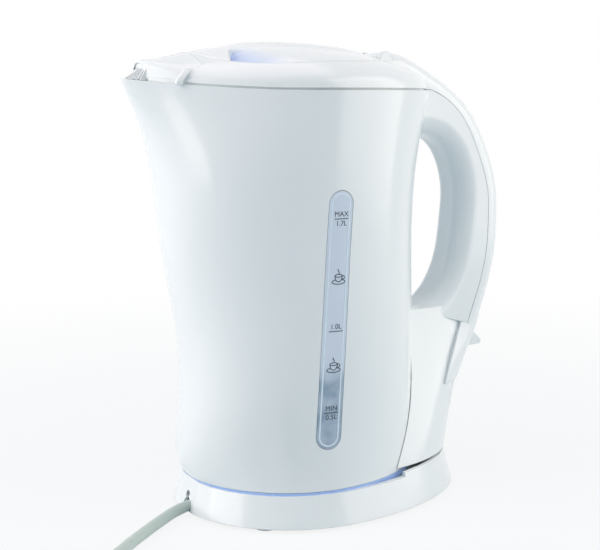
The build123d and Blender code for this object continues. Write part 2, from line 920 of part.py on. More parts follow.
# Switch lever: wedge on a cross pin at the back of the handle
with BuildPart() as switch_lever:
    with BuildSketch(Plane.XZ):
        with BuildLine():
            Polyline(*[(switch_x + x, switch_z + z) for x, z in switch_profile], close=True)
        make_face()
        with Locations((switch_x, switch_z)):
            Circle(switch_pin_r + pin_gap, mode=Mode.SUBTRACT)
    extrude(amount=switch_half_width, both=True)
save(switch_lever.part, "switch_lever")

with BuildPart() as switch_pin:
    with Locations((switch_x, 0, switch_z)):
        Cylinder(switch_pin_r, switch_pin_length, rotation=(90, 0, 0))
save(switch_pin.part, "switch_pin")

# Cordless connector, upper half in the tail
socket_length = connector_length + 2 * (connector_wall + run_gap)
socket_width = connector_width + 2 * (connector_wall + run_gap)
with BuildPart() as jug_connector:
    with Locations((connector_x, 0, tail_edge)):
        Box(socket_length, socket_width, contact_top + run_gap + connector_roof - tail_edge, align=level_align)
    with Locations((connector_x, 0, cover_top)):
        Box(socket_length, socket_width + 2 * connector_flange, cover_thickness, align=level_align)
    with Locations((connector_x, 0, tail_edge)):
        Box(
            connector_length + 2 * run_gap,
            connector_width + 2 * run_gap,
            connector_top + run_gap - tail_edge,
            align=level_align,
            mode=Mode.SUBTRACT,
        )
        Box(
            contact_width + 2 * run_gap,
            2 * contact_pitch + contact_thickness + 2 * run_gap,
            contact_top + run_gap - tail_edge,
            align=level_align,
            mode=Mode.SUBTRACT,
        )
save(jug_connector.part, "jug_connector")

# Bottom cover of the tail, round the connector
with BuildPart() as bottom_cover:
    loft(tail_outlines(tail_wall + fit_gap))
    add(slab(tail_edge, cover_top), mode=Mode.INTERSECT)
    add(jug_skin.part, mode=Mode.SUBTRACT)
    with Locations((connector_x, 0, tail_edge)):
        Box(
            socket_length + 2 * fit_gap,
            socket_width + 2 * fit_gap,
            2 * cover_thickness,
            mode=Mode.SUBTRACT,
        )
    with Locations((cover_boss_x, cover_boss_y, tail_edge), (cover_boss_x, -cover_boss_y, tail_edge)):
        Cylinder(screw_r + fit_gap, 4 * cover_thickness, mode=Mode.SUBTRACT)
        Cylinder(screw_head_r + fit_gap, 2 * (cover_thickness - screw_seat), mode=Mode.SUBTRACT)
save(bottom_cover.part, "bottom_cover")

with BuildPart() as cover_screws:
    with Locations((cover_boss_x, cover_boss_y, tail_edge), (cover_boss_x, -cover_boss_y, tail_edge)):
        Cylinder(screw_head_r, cover_thickness - screw_seat, align=level_align)
        Cylinder(screw_r - pin_gap, screw_length, align=level_align)
save(cover_screws.part, "cover_screws")

# Power base: flared shell with a sunken deck
with BuildPart() as base_shell:
    loft([base_outline(base_bottom, 0), base_outline(base_rear_top, 0)])
    with Locations((base_step_x, 0, base_top)):
        Box(
            2 * half_length,
            2 * half_length,
            base_rear_top,
            align=(Align.MAX, Align.CENTER, Align.MIN),
            mode=Mode.SUBTRACT,
        )
    extrude(base_outline(base_deck, base_rim), amount=base_deck, mode=Mode.SUBTRACT)
    loft(
        [base_outline(base_bottom, base_wall), base_outline(base_deck - base_wall, base_wall)],
        mode=Mode.SUBTRACT,
    )
    with Locations(*[(x, y, plate_top) for x, y in boss_places]):
        Cylinder(boss_r, base_deck - base_wall / 2 - plate_top, align=level_align)
        Cylinder(screw_r, base_deck - base_wall - plate_top, align=level_align, mode=Mode.SUBTRACT)
    with Locations((connector_x, 0, base_deck)):
        Box(
            connector_length + 2 * fit_gap,
            connector_width + 2 * fit_gap,
            4 * base_wall,
            mode=Mode.SUBTRACT,
        )
    # flat at the front with the cord hole and a small tie hole
    with BuildSketch(Plane.XZ):
        with BuildLine():
            Polyline(
                (facet_x, base_bottom),
                (facet_x + base_flare, base_top),
                (-half_length, base_top),
                (-half_length, base_bottom),
                close=True,
            )
        make_face()
    extrude(amount=2 * facet_half_width, both=True, mode=Mode.SUBTRACT)
    with Locations((facet_x, cord_hole_y, cord_hole_z)):
        Cylinder(cord_hole_r, 6 * base_wall, rotation=(0, 90, 0), mode=Mode.SUBTRACT)
        Box(
            6 * base_wall,
            2 * cord_hole_r,
            cord_hole_z,
            align=(Align.CENTER, Align.CENTER, Align.MAX),
            mode=Mode.SUBTRACT,
        )
    with Locations((facet_x, 0, tie_hole_z)):
        Cylinder(tie_hole_r, 6 * base_wall, rotation=(0, 90, 0), mode=Mode.SUBTRACT)
save(base_shell.part, "base_shell")

foot_places = [
    (x, side * y, 0) for x, y in ((foot_front_x, foot_front_y), (foot_rear_x, foot_rear_y)) for side in (-1, 1)
]
with BuildPart() as base_plate:
    loft([base_outline(base_bottom, base_wall + fit_gap), base_outline(plate_top, base_wall + fit_gap)])
    with Locations(*foot_places):
        Cylinder(foot_r + fit_gap, base_bottom + foot_recess, align=level_align, mode=Mode.SUBTRACT)
    with Locations(*[(x, y, base_bottom) for x, y in boss_places]):
        Cylinder(screw_r + fit_gap, 4 * plate_thickness, mode=Mode.SUBTRACT)
        Cylinder(screw_head_r + fit_gap, 2 * screw_head, mode=Mode.SUBTRACT)
    with Locations((facet_x, cord_hole_y, base_bottom)):
        Box(2 * cord_slot, 2 * cord_hole_r + 2 * abs(cord_hole_y), 4 * plate_thickness, mode=Mode.SUBTRACT)
save(base_plate.part, "base_plate")

with BuildPart() as base_feet:
    with Locations(*foot_places):
        Cylinder(foot_r, base_bottom + foot_recess, align=level_align)
save(base_feet.part, "base_feet")

with BuildPart() as base_screws:
    with Locations(*[(x, y, base_bottom) for x, y in boss_places]):
        Cylinder(screw_head_r, screw_head, align=level_align)
        Cylinder(screw_r - pin_gap, screw_length, align=level_align)
save(base_screws.part, "base_screws")

# Cordless connector, lower half on the base, with three contact blades
with BuildPart() as base_connector:
    with Locations((connector_x, 0, base_deck - base_wall)):
        Box(
            connector_length + 2 * connector_flange,
            connector_width + 2 * connector_flange,
            cover_thickness,
            align=(Align.CENTER, Align.CENTER, Align.MAX),
        )
        Box(connector_length, connector_width, connector_top - base_deck + base_wall, align=level_align)
    with Locations((connector_x, 0, base_deck)):
        with GridLocations(1, contact_pitch, 1, 3):
            Box(
                contact_width + 2 * pin_gap,
                contact_thickness + 2 * pin_gap,
                connector_top,
                align=level_align,
                mode=Mode.SUBTRACT,
            )
save(base_connector.part, "base_connector")

with BuildPart() as base_contacts:
    with Locations((connector_x, 0, base_deck)):
        with GridLocations(1, contact_pitch, 1, 3):
            Box(contact_width, contact_thickness, contact_top - base_deck, align=level_align)
save(base_contacts.part, "base_contacts")

# Clamp that holds the cord inside the base
with BuildPart() as cord_clamp:
    with Locations((cord_route[0][0], 0, plate_top)):
        Box(
            clamp_length,
            clamp_width,
            base_deck - base_wall - fit_gap - plate_top,
            align=(Align.MAX, Align.CENTER, Align.MIN),
        )
    with Locations((cord_route[0][0], 0, cord_route[0][2])):
        Cylinder(cord_r + run_gap, 4 * clamp_length, rotation=(0, 90, 0), mode=Mode.SUBTRACT)
        Box(
            4 * clamp_length,
            2 * (cord_r + run_gap),
            cord_route[0][2],
            align=(Align.CENTER, Align.CENTER, Align.MAX),
            mode=Mode.SUBTRACT,
        )
save(cord_clamp.part, "cord_clamp")

# Mains cord: lead, coil and plug end
for name, route in (("cord_lead", cord_route), ("cord_tail", tail_route)):
    start = Vector(route[0])
    with BuildPart() as cord:
        with BuildLine():
            FilletPolyline(*route, radius=turn_radii(route))
        with BuildSketch(Plane(start, z_dir=Vector(route[1]) - start)):
            Circle(cord_r)
        sweep()
    print(name, "radii", [round(radius, 1) for radius in turn_radii(route)])
    save(cord.part, name)

before_coil, coil_start = (Vector(point) for point in cord_route[-2:])
heading = (coil_start - before_coil).normalized()
coil_middle = coil_start + heading.rotate(Axis.Z, 90) * coil_r
with BuildPart() as cord_coil:
    with Locations((coil_middle.X, coil_middle.Y, 0)):
        Cylinder(coil_r + coil_band / 2, coil_height, align=level_align)
        Cylinder(coil_r - coil_band / 2, coil_height, align=level_align, mode=Mode.SUBTRACT)
    fillet(cord_coil.edges().filter_by(GeomType.CIRCLE), coil_round)
save(cord_coil.part, "cord_coil")

plug_start = Vector(tail_route[-1])
plug_way = plug_start - Vector(tail_route[-2])
plug_plane = Plane(plug_start, x_dir=(0, 0, 1), z_dir=plug_way)
with BuildPart(plug_plane) as plug_body:
    Cone(plug_neck_tip_r, plug_neck_r, plug_neck, align=level_align)
    with BuildSketch(plug_plane.offset(plug_neck)):
        RectangleRounded(2 * plug_neck_r, 2 * plug_half_height, plug_round)
    with BuildSketch(plug_plane.offset(plug_neck + plug_shoulder)):
        RectangleRounded(2 * plug_half_height, 2 * plug_half_width, plug_round)
    loft()
    with BuildSketch(plug_plane.offset(plug_neck + plug_shoulder)):
        RectangleRounded(2 * plug_half_height, 2 * plug_half_width, plug_round)
    extrude(amount=plug_length - plug_shoulder)
save(plug_body.part, "plug_body")

with BuildPart(plug_plane) as plug_pins:
    with Locations((0, 0, plug_neck + plug_length)):
        with GridLocations(1, plug_pin_spread, 1, 2):
            Cylinder(plug_pin_r, plug_pin_length, align=level_align)
save(plug_pins.part, "plug_pins")
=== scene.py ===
import json
from bisect import bisect
from math import asin, atan2, cos, hypot, pi, radians, sin, sqrt

import bmesh
import bpy
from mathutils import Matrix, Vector
from mathutils.bvhtree import BVHTree


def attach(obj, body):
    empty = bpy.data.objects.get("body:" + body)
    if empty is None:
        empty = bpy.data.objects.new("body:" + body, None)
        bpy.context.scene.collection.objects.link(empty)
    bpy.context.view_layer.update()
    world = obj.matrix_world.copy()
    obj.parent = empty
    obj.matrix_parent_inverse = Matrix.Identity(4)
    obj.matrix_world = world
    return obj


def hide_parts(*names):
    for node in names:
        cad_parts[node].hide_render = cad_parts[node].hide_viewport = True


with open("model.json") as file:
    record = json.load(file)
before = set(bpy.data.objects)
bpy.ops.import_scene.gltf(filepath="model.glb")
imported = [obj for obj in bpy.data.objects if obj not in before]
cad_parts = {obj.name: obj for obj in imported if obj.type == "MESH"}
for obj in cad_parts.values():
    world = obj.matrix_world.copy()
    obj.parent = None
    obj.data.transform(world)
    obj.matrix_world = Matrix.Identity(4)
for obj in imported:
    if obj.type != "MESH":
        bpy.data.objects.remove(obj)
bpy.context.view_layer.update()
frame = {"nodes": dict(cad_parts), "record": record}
nodes = frame["nodes"]

# Camera, as fitted to the photograph: place, turn from +Y, dip below level, lens on a 36 mm film
camera_place = (-0.3232, -0.5583, 0.2218)
camera_turn = -28.98
camera_dip = 8.73
camera_lens = 70.15
camera_near = 0.01
film_width = 36.0

# Lamps: name, place, point they face, width, height, power, colour
lamp_aim = (0, 0, 0.12)
top_aim = (0, 0, 0.2)
lamps = (
    ("left_box", (-0.92, 0.0, 0.42), lamp_aim, 0.7, 1.1, 7.2, (1.0, 0.88, 0.80)),
    ("back_box", (-0.86, 0.52, 0.42), lamp_aim, 0.7, 1.1, 3.0, (1.0, 0.90, 0.92)),
    ("right_box", (0.62, -0.55, 0.45), lamp_aim, 1.0, 1.1, 7.5, (1.0, 0.89, 0.80)),
    ("top_box", (-0.1, 0.0, 1.1), top_aim, 1.0, 1.0, 3.6, (1.0, 0.84, 0.84)),
)
fill_colour = (0.24, 0.68, 1.0)
fill_strength = 0.22

# Floor, and the distances over which it fades into the backdrop
floor_half = 6.0
floor_roughness = 0.9
floor_gloss = 0.1
floor_drift_scale = 6.0
floor_drift = 0.01
fade_near = 0.12
fade_far = 0.75
fade_low = 0.86

# Colours, linear
white_colour = (0.84, 0.885, 0.895)
dark_colour = (0.02, 0.021, 0.023)
rubber_colour = (0.80, 0.83, 0.85)
steel_colour = (0.55, 0.56, 0.57)
brass_colour = (0.62, 0.44, 0.17)
cord_colour = (0.52, 0.61, 0.565)
window_colour = (0.76, 0.85, 0.97)
# painted shade: colour of the window's lower part, for the dim inside seen through it
window_shade_colour = (0.33, 0.45, 0.58)
# painted shade: blue of the shadowed gap between jug and base, given to a ring set in it
gap_shade_colour = (0.40, 0.58, 0.97)
bead_colour = (0.76, 0.87, 0.96)
ink_colour = (0.035, 0.06, 0.09)
floor_colour = (0.60, 0.70, 0.76)
# painted shade: bluish colour mixed into the lid down in its finger recesses
recess_shade_colour = (0.42, 0.58, 0.98)

# Noise that the materials share: the part of its range that is used, and its grain
noise_low = 0.3
noise_high = 0.7
noise_roughness = 0.55

# Plastic: noise scales, spread of the gloss, depth of the orange peel
edge_round = 0.0005
edge_samples = 6
drift_scale = 35.0
gloss_scale = 260.0
gloss_low = 0.85
gloss_high = 1.2
peel_scale = 700.0
peel_depth = 0.0001
plastic_ior = 1.5
coat_roughness = 0.08

# Metal
metal_drift_scale = 120.0
metal_drift = 0.06
streak_scale = 900.0
streak_low = 0.7
streak_high = 1.3
grain_scale = 1500.0
grain_depth = 0.00005
grain_strength = 0.08
metal_edge = 0.0003

# Window plastic, with the heights between which painted shade darkens it
window_shade_top = 0.087
window_shade_full = 0.077
window_drift_scale = 40.0
window_drift = 0.03
shade_cloud_scale = 110.0
shade_cloud_low = 0.45
window_gloss_scale = 300.0
window_gloss_low = 0.10
window_gloss_high = 0.18
wave_scale = 260.0
wave_strength = 0.06
window_clearness = 0.12
window_ior = 1.46

# Shading and tubes
sharp_angle = 40.0
tube_round = 5
tube_order = 3
tube_steps = 6

# Cord route, the points of the solid in metres, with its first bend a little softer
cord_r = 0.003
cord_z = cord_r + 0.00005
cord_route = (
    (-0.053, 0.0, 0.0078),
    (-0.086, -0.0012, 0.0043),
    (-0.109, -0.0175, cord_z),
    (-0.1335, -0.039, cord_z),
    (-0.156, -0.062, cord_z),
    (-0.178, -0.090, cord_z),
)
plug_z = 0.01155
tail_route = (
    (-0.14606, -0.13849, 0.0106),
    (-0.13606, -0.13989, plug_z),
    (-0.12655, -0.14123, plug_z),
)

# Coil: a spiral in on the table, a climb, and a spiral out on top of it
coil_r = 0.029
coil_points = 24  # to a turn
coil_turns = 3
coil_outer = 0.0322
coil_pitch = 0.0061
turn_in = 1.6
turn_up = 1.86
tail_angle = 262.0
tie_angle = 40.0
tie_r = 0.0008
tie_corner = 0.25

# Scale on the level window
pen = 0.00045
letter_size = 0.0037
line_half = 0.0039
line_points = 12
mark_sink = 0.00006
mark_thickness = 0.00014
# Marks: what it is, place along X and Z
marks = (
    ("MAX", -0.0238, 0.1633),
    ("line", -0.0238, 0.1610),
    ("1.7L", -0.0238, 0.1586),
    ("cup", -0.0248, 0.1312),
    ("1.0L", -0.0260, 0.1061),
    ("line", -0.0260, 0.1038),
    ("cup", -0.0270, 0.0858),
    ("MIN", -0.0279, 0.0636),
    ("line", -0.0279, 0.0613),
    ("0.5L", -0.0279, 0.0589),
)

# Cup sign, about its middle
cup_brim = (0, 0.0010)
cup_half = 0.0021
brim_half = 0.0007
bowl_depth = 0.0031
saucer_middle = (0, -0.0021)
saucer_half_x = 0.0037
saucer_half_z = 0.0012
cup_ear = (0.0023, 0.0001)
ear_half_x = 0.0011
ear_half_z = 0.0009
steam_sway = 0.0004
steam_bend = 6.0
steam_foot = 0.0020
steam_rise = 0.0024
steam_points = 10

# Bead along the window's edge, inside its outline
window_ends = ((-0.0290, 0.04865), (-0.0240, 0.16835))
bead_reach = 0.0050
bead_r = 0.0005
bead_sink = 0.0003
bead_arc_points = 12
bead_run_points = 20

# Dome that lid, collar and hood share: an egg outline at its foot and quarter ovals up to a crown
crown_x = -0.040
crown_rise = 0.022
dome_foot = 0.2255
foot_x = -0.021
foot_front = 0.0928
foot_rear = 0.0799
foot_half = 0.0638
foot_nose = 0.0103
foot_shoulder = 0.040
oval = 0.5523
outline_points = 80
collar_inset = 0.001

# Lid: its part of the dome, with a low ridge and a finger recess on each side of it
lid_x = -0.026
lid_half_length = 0.055
lid_half_width = 0.0505
lid_bottom = 0.2355
lid_rings = 90
lid_spokes = 320
lid_edge = 0.0006
lid_edge_share = 0.985
ridge_x = -0.012
ridge_half_length = 0.052
ridge_half_width = 0.024
ridge_rise = 0.0021
ridge_soft = 0.4
# attribute on the lid that sets how much painted recess shade each point gets
recess_shade_mark = "recess"
recess_front = -0.0628
recess_front_slope = -0.415
recess_wall = 0.0016
recess_depth = 0.0054
recess_inner = 0.0130
recess_soft = 0.003
recess_end = -0.0537
recess_end_slope = 0.357
hinge_x = 0.033
hinge_z = 0.242
barrel_r = 0.003
barrel_half = 0.009
tongue_x = 0.025
barrel_points = 24

# Rim of the jug, and the lining behind the groove between rim and collar
rim_low = 0.2245
rim_start = -0.040
rim_bend = 0.521
lining_inset = 0.0027
lining_thickness = 0.0009
lining_front = -0.1058
lining_rear = -0.035
lining_down = 0.0010
lining_up = 0.0022

# Hood over the spout, blunter in front than the dome, and a comb of slats in its mouth
hood_front = -0.1065
hood_rear = -0.0822
hood_inset = 0.0021
hood_rise = 0.0003
hood_gap = 0.0007
hood_wall = 0.0012
hood_crown = 0.2392
hood_squareness = 3.2
hood_sections = 24
hood_points = 48
halvings = 30
comb_front = -0.1056
comb_rear = -0.1015
comb_pitch = 0.0012
comb_slats = 8  # to each side of the middle one
slat_half = 0.00057
comb_foot = 0.2265
comb_step_top = 0.2354
comb_lip_inset = 0.0038
comb_tip_inset = 0.0004
comb_lip_rise = 0.0002
comb_tip_rise = 0.0008

# Blue ring on the base, in the gap under the jug: painted shade, a band that stands in for the bluish
# shade of the gap
ring_x = -0.021
ring_front = 0.0595
ring_rear = 0.0720
ring_half = 0.0585
ring_nose = 0.0323
ring_shoulder = 0.0329
ring_inset = 0.0004
ring_width = 0.0014
ring_top = 0.0196
ring_bottom = 0.0162
ring_points = 40

# Blend on each side of the switch, from the foot of the grip down to the tail
blend_top = 0.0884
blend_low = 0.0580
blend_inner = 0.0087
blend_root = 0.0050  # hidden in the grip
blend_lean = 0.0015
blend_sink = 0.0002
blend_levels = 20
blend_points = 24
grip_side_x = 0.0850
grip_corner_x = 0.0920
grip_half = 0.0149
grip_round = 0.0110
tail_middle = 0.0345
tail_half_x = 0.0553
tail_half_y = 0.0322
tail_first = 0.0670
tail_last = 0.0884

# Rounded ends of the collar, beside the hood
cheek_r = 0.0017
cheek_route = (
    (-0.0970, -0.0262, 0.2270),
    (-0.0952, -0.0262, 0.2292),
    (-0.0928, -0.0252, 0.2318),
    (-0.0902, -0.0240, 0.2338),
    (-0.0888, -0.0236, 0.2342),
)
cheek_radii = (0.8, 1.0, 1.0, 0.95, 0.6)


# Materials
def new_material(name):
    """New node material, with its tree and its shader."""
    material = bpy.data.materials.new(name)
    material.use_nodes = True
    tree = material.node_tree
    return material, tree, tree.nodes["Principled BSDF"]


def add_node(tree, kind, **values):
    """One shader node, with inputs set by name."""
    node = tree.nodes.new(kind)
    for name, value in values.items():
        node.inputs[name].default_value = value
    return node


def colour_mix(tree):
    """Node that mixes two colours."""
    mix = tree.nodes.new("ShaderNodeMix")
    mix.data_type = "RGBA"
    return mix


def noise(tree, scale, detail=3.0):
    """Noise in the object's own metres."""
    place = tree.nodes.new("ShaderNodeTexCoord")
    grain = add_node(tree, "ShaderNodeTexNoise", Scale=scale, Detail=detail, Roughness=noise_roughness)
    tree.links.new(place.outputs["Object"], grain.inputs["Vector"])
    return grain.outputs["Fac"]


def spread(tree, value, low, high):
    """Noise value mapped to a narrow range."""
    ramp = tree.nodes.new("ShaderNodeMapRange")
    ramp.inputs["From Min"].default_value = noise_low
    ramp.inputs["From Max"].default_value = noise_high
    ramp.inputs["To Min"].default_value = low
    ramp.inputs["To Max"].default_value = high
    tree.links.new(value, ramp.inputs["Value"])
    return ramp.outputs["Result"]


def tint(tree, value, colour, share):
    """Colour that drifts a little lighter and darker with a noise value."""
    mix = colour_mix(tree)
    mix.inputs["A"].default_value = (*(c * (1 - share) for c in colour), 1)
    mix.inputs["B"].default_value = (*(min(1, c * (1 + share)) for c in colour), 1)
    tree.links.new(value, mix.inputs["Factor"])
    return mix.outputs["Result"]


def bump(tree, shader, value, distance, strength, edge=0.0):
    """Fine surface relief, over edges that catch the light as if slightly rounded."""
    relief = add_node(tree, "ShaderNodeBump", Strength=strength, Distance=distance)
    tree.links.new(value, relief.inputs["Height"])
    if edge:
        rounded = tree.nodes.new("ShaderNodeBevel")
        rounded.samples = edge_samples
        rounded.inputs["Radius"].default_value = edge
        tree.links.new(rounded.outputs["Normal"], relief.inputs["Normal"])
    tree.links.new(relief.outputs["Normal"], shader.inputs["Normal"])


def moulded(name, colour, roughness, edge=edge_round, share=0.012, peel=0.05, coat=0.0):
    """Moulded plastic: slight colour drift, uneven gloss and faint orange peel."""
    material, tree, shader = new_material(name)
    drift = noise(tree, drift_scale, detail=4.0)
    tree.links.new(tint(tree, drift, colour, share), shader.inputs["Base Color"])
    gloss = noise(tree, gloss_scale, detail=5.0)
    uneven = spread(tree, gloss, roughness * gloss_low, roughness * gloss_high)
    tree.links.new(uneven, shader.inputs["Roughness"])
    bump(tree, shader, noise(tree, peel_scale, detail=2.0), peel_depth, peel, edge)
    shader.inputs["IOR"].default_value = plastic_ior
    shader.inputs["Coat Weight"].default_value = coat
    shader.inputs["Coat Roughness"].default_value = coat_roughness
    return material


def metal(name, colour, roughness):
    """Drawn metal with an uneven gloss and a fine grain."""
    material, tree, shader = new_material(name)
    drift = noise(tree, metal_drift_scale, detail=4.0)
    tree.links.new(tint(tree, drift, colour, metal_drift), shader.inputs["Base Color"])
    shader.inputs["Metallic"].default_value = 1.0
    streaks = noise(tree, streak_scale)
    uneven = spread(tree, streaks, roughness * streak_low, roughness * streak_high)
    tree.links.new(uneven, shader.inputs["Roughness"])
    bump(tree, shader, noise(tree, grain_scale, detail=2.0), grain_depth, grain_strength, metal_edge)
    return material


def clear_plastic():
    """Tinted window plastic: milky, and with painted shade low down, for the dim inside and element
    seen through it.
    """
    material, tree, shader = new_material("window_plastic")
    drift = tint(tree, noise(tree, window_drift_scale), window_colour, window_drift)
    place = tree.nodes.new("ShaderNodeTexCoord")
    height = tree.nodes.new("ShaderNodeSeparateXYZ")
    tree.links.new(place.outputs["Object"], height.inputs["Vector"])
    shade_depth = tree.nodes.new("ShaderNodeMapRange")
    shade_depth.interpolation_type = "SMOOTHSTEP"
    shade_depth.inputs["From Min"].default_value = window_shade_top
    shade_depth.inputs["From Max"].default_value = window_shade_full
    tree.links.new(height.outputs["Z"], shade_depth.inputs["Value"])
    # painted shade, broken up by noise, that darkens the window low down
    shade_cloud = tree.nodes.new("ShaderNodeMath")
    shade_cloud.operation = "MULTIPLY"
    tree.links.new(shade_depth.outputs["Result"], shade_cloud.inputs[0])
    tree.links.new(spread(tree, noise(tree, shade_cloud_scale, detail=2.0), shade_cloud_low, 1.0), shade_cloud.inputs[1])
    mix = colour_mix(tree)
    mix.inputs["B"].default_value = (*window_shade_colour, 1)
    tree.links.new(drift, mix.inputs["A"])
    tree.links.new(shade_cloud.outputs["Value"], mix.inputs["Factor"])
    tree.links.new(mix.outputs["Result"], shader.inputs["Base Color"])
    gloss = spread(tree, noise(tree, window_gloss_scale), window_gloss_low, window_gloss_high)
    tree.links.new(gloss, shader.inputs["Roughness"])
    bump(tree, shader, noise(tree, wave_scale, detail=2.0), peel_depth, wave_strength)
    shader.inputs["Transmission Weight"].default_value = window_clearness
    shader.inputs["IOR"].default_value = window_ior
    return material


def paint_recess_shade(material):
    """Copy of the white plastic with painted bluish shade down in the finger recesses."""
    copy = material.copy()
    copy.name = "lid_plastic_recess_shade"
    tree = copy.node_tree
    shader = tree.nodes["Principled BSDF"]
    plain = shader.inputs["Base Color"].links[0].from_socket
    shade_depth = tree.nodes.new("ShaderNodeAttribute")
    shade_depth.attribute_name = recess_shade_mark
    mix = colour_mix(tree)
    mix.inputs["B"].default_value = (*recess_shade_colour, 1)
    tree.links.new(plain, mix.inputs["A"])
    tree.links.new(shade_depth.outputs["Fac"], mix.inputs["Factor"])
    tree.links.new(mix.outputs["Result"], shader.inputs["Base Color"])
    return copy


white = moulded("white_plastic", white_colour, roughness=0.20, coat=0.25)
dark = moulded("dark_plastic", dark_colour, roughness=0.45, peel=0.12)
rubber = moulded("grey_rubber", rubber_colour, roughness=0.75, peel=0.2)
steel = metal("steel", steel_colour, roughness=0.28)
brass = metal("brass", brass_colour, roughness=0.3)
cord_skin = moulded("cord_skin", cord_colour, roughness=0.38, edge=0.0, peel=0.1)
window_skin = clear_plastic()
# painted shade for the ring in the gap under the jug
gap_shade_blue = moulded("blue_plastic", gap_shade_colour, roughness=0.25)
bead_skin = moulded("window_bead", bead_colour, roughness=0.2, edge=0.0)
ink = moulded("scale_ink", ink_colour, roughness=0.5, edge=0.0, share=0.05)
lid_shaded_skin = paint_recess_shade(white)

# Material of each slot on the solids; the pale spout filter looks white
skins = {
    "white_plastic": white,
    "dark_plastic": dark,
    "rubber": rubber,
    "steel": steel,
    "brass": brass,
    "cord_grey": cord_skin,
    "clear_plastic": window_skin,
    "blue_plastic": white,
}
for part in frame["record"]["subparts"]:
    mesh = nodes[part["node"]].data
    mesh.materials.clear()
    mesh.materials.append(skins[part["material_slot"]])


# Pieces
def link(piece, body):
    """Put a piece into the scene, on its body."""
    bpy.context.scene.collection.objects.link(piece)
    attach(piece, body)


def solid_piece(name, points, faces, material):
    """Mesh object with soft shading except at sharp edges."""
    mesh = bpy.data.meshes.new(name)
    mesh.from_pydata(points, [], faces)
    shape = bmesh.new()
    shape.from_mesh(mesh)
    bmesh.ops.recalc_face_normals(shape, faces=shape.faces)
    shape.to_mesh(mesh)
    shape.free()
    mesh.shade_smooth()
    mesh.set_sharp_from_angle(angle=radians(sharp_angle))
    mesh.materials.append(material)
    return bpy.data.objects.new(name, mesh)


def closed_rows(first, rows, row):
    """Faces between closed rows of points, with a face over each end."""
    faces = []
    for level in range(rows - 1):
        here = first + level * row
        for i in range(row):
            j = (i + 1) % row
            faces.append((here + i, here + j, here + row + j, here + row + i))
    faces.append(tuple(range(first, first + row)))
    faces.append(tuple(range(first + rows * row - row, first + rows * row)))
    return faces


def tube(name, route, radius, closed=False):
    """Round tube along a route."""
    curve = bpy.data.curves.new(name, "CURVE")
    curve.dimensions = "3D"
    curve.bevel_depth = radius
    curve.bevel_resolution = tube_round
    curve.use_fill_caps = not closed
    spline = curve.splines.new("NURBS")
    spline.points.add(len(route) - 1)
    for point, place in zip(spline.points, route):
        point.co = (*place, 1)
    spline.order_u = tube_order
    spline.use_endpoint_u = not closed
    spline.use_cyclic_u = closed
    spline.resolution_u = tube_steps
    return bpy.data.objects.new(name, curve)


def arc(middle, half_x, half_z, first, last, steps):
    """Points along part of an oval, between two angles in degrees."""
    line = []
    for i in range(steps + 1):
        angle = radians(first + (last - first) * i / steps)
        line.append((middle[0] + half_x * cos(angle), middle[1] + half_z * sin(angle)))
    return line


def bezier(ends, share):
    """Point on a flat curve with four control points."""
    a, b, c, d = (Vector(end) for end in ends)
    rest = 1 - share
    return a * rest**3 + b * 3 * rest * rest * share + c * 3 * rest * share * share + d * share**3


def eased(share):
    """Zero to one with soft ends."""
    share = min(max(share, 0.0), 1.0)
    return share * share * (3 - 2 * share)


# Cord: out of the base, into a coil beside it, and on to the plug
def coil_place(turn):
    """Distance from the coil's middle and height, after a number of turns."""
    if turn < turn_in:
        return coil_outer - coil_pitch * turn, cord_z
    inner = coil_outer - coil_pitch * turn_in
    if turn < turn_up:
        return inner, cord_z + coil_pitch * eased((turn - turn_in) / (turn_up - turn_in))
    return inner + coil_pitch * (turn - turn_up), cord_z + coil_pitch


before, start = (Vector(point) for point in cord_route[-2:])
heading = (start - before).normalized()
inward = Vector((-heading.y, heading.x, 0))
coil_middle = start + inward * coil_r
first_angle = atan2(-inward.y, -inward.x)
last_turn = coil_turns + (radians(tail_angle) - first_angle) / (2 * pi)


def coil_point(reach, angle, height):
    """Point at a distance and angle from the coil's middle."""
    return coil_middle.x + reach * cos(angle), coil_middle.y + reach * sin(angle), height


def make_cord():
    """Whole cord as one smooth line."""
    turns = []
    for step in range(int(last_turn * coil_points)):
        turn = step / coil_points
        reach, height = coil_place(turn)
        turns.append(coil_point(reach, first_angle + 2 * pi * turn, height))
    piece = tube("mains_cord", [*cord_route[:-1], *turns, *tail_route], cord_r)
    piece.data.materials.append(cord_skin)
    link(piece, "base")
    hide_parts("cord_lead", "cord_coil", "cord_tail")
    return piece


def make_tie():
    """Thin loop round the turns of the coil."""
    angle = radians(tie_angle)
    share = (angle - first_angle) / (2 * pi) % 1
    tied = [coil_place(turn + share) for turn in range(coil_turns + 1) if turn + share < last_turn]
    inner = min(reach for reach, _ in tied) - cord_r - tie_r
    outer = max(reach for reach, _ in tied) + cord_r + tie_r
    low = tie_r
    high = max(height for _, height in tied) + cord_r + tie_r
    corner = tie_corner * high
    section = (
        (inner, low + corner),
        (inner, low),
        (outer, low),
        (outer, low + corner),
        (outer, high - corner),
        (outer, high),
        (inner, high),
        (inner, high - corner),
    )
    route = [coil_point(reach, angle, height) for reach, height in section]
    piece = tube("cord_tie", route, tie_r, closed=True)
    piece.data.materials.append(white)
    link(piece, "base")
    return piece


cord = make_cord()
tie = make_tie()


# Scale on the level window: lines, numbers and two cups, laid on its surface
def flat_text(words, size):
    """Letters as a flat mesh about the origin: points and faces."""
    text = bpy.data.curves.new("letters", "FONT")
    text.body = words
    text.size = size
    text.align_x = "CENTER"
    text.align_y = "CENTER"
    holder = bpy.data.objects.new("letters", text)
    mesh = bpy.data.meshes.new_from_object(holder)
    points = [(v.co.x, v.co.y) for v in mesh.vertices]
    faces = [tuple(f.vertices) for f in mesh.polygons]
    bpy.data.meshes.remove(mesh)
    bpy.data.objects.remove(holder)
    bpy.data.curves.remove(text)
    return points, faces


